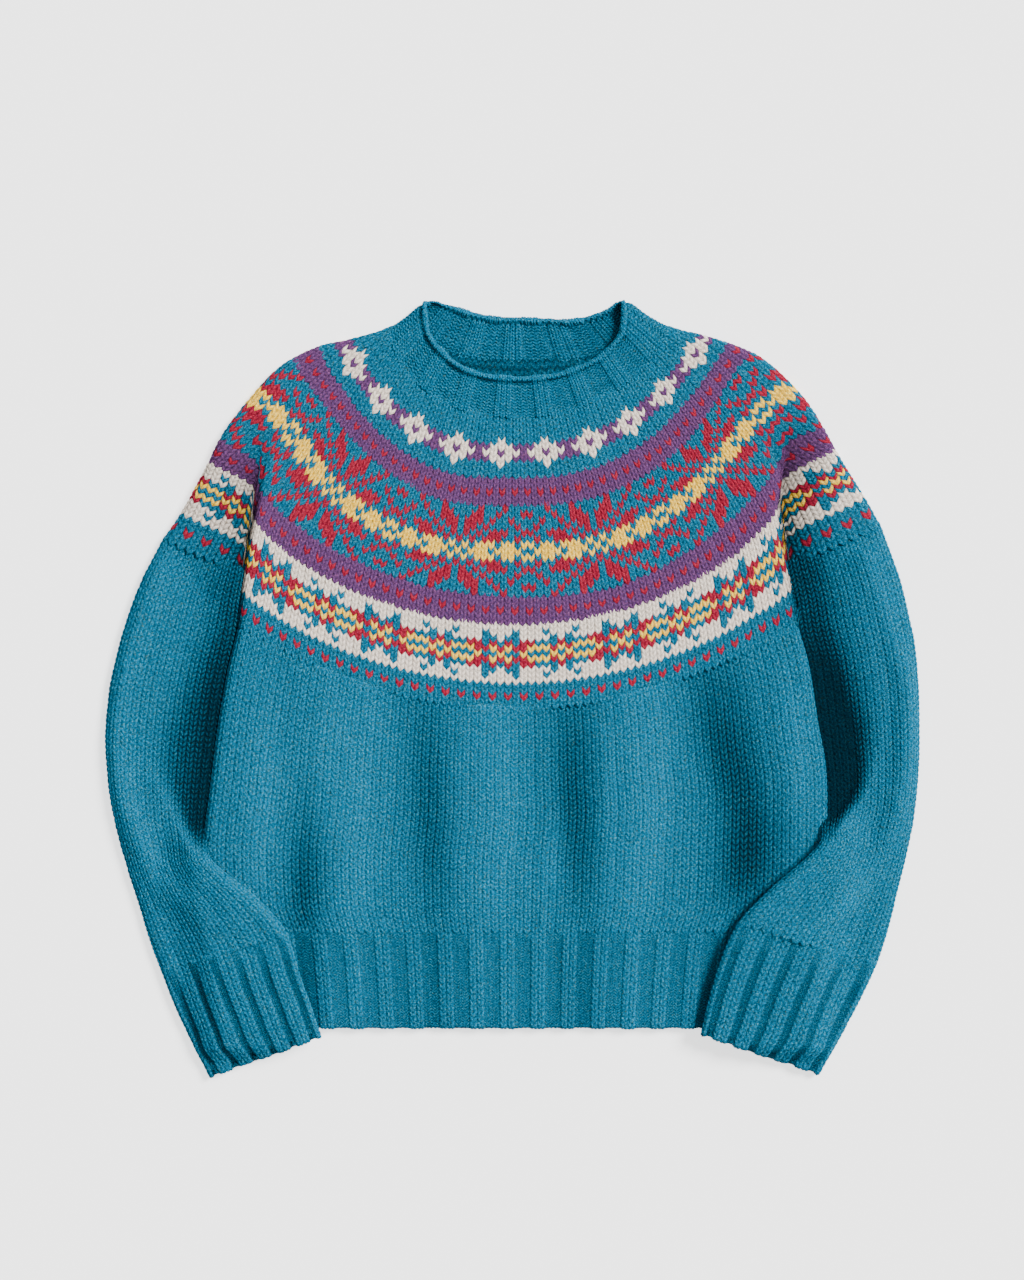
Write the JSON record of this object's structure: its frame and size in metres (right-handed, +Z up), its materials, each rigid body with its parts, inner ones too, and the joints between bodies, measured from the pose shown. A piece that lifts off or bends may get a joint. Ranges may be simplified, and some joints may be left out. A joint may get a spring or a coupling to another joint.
{
  "type": "fair isle jumper",
  "caption": "Wool jumper with a patterned circular yoke, ribbed neckband, hem and cuffs, laid flat with its sleeves folded in.",
  "frame": {"origin": "middle of the jumper's outline in plan, on the surface that it lies on", "axes": "+Z up from the surface to the jumper's front, +Y towards the neck, +X along the width, towards the sleeve on the right of the picture"},
  "size_m": [0.6944, 0.6621, 0.0222],
  "materials": {
    "plain_knit": "plain knit in thick turquoise heather wool",
    "rib_knit": "ribbed knit in thick turquoise heather wool",
    "yoke_knit": "stranded knit in turquoise, purple, red, yellow and off-white wool"
  },
  "bodies": {
    "root": {"yoke": "yoke_knit", "neckband": "rib_knit", "front": "plain_knit", "back": "plain_knit", "hem_rib_front": "rib_knit", "hem_rib_back": "rib_knit", "sleeve_left": "plain_knit", "sleeve_right": "plain_knit", "cuff_left": "rib_knit", "cuff_right": "rib_knit"}
  },
  "joints": []
}
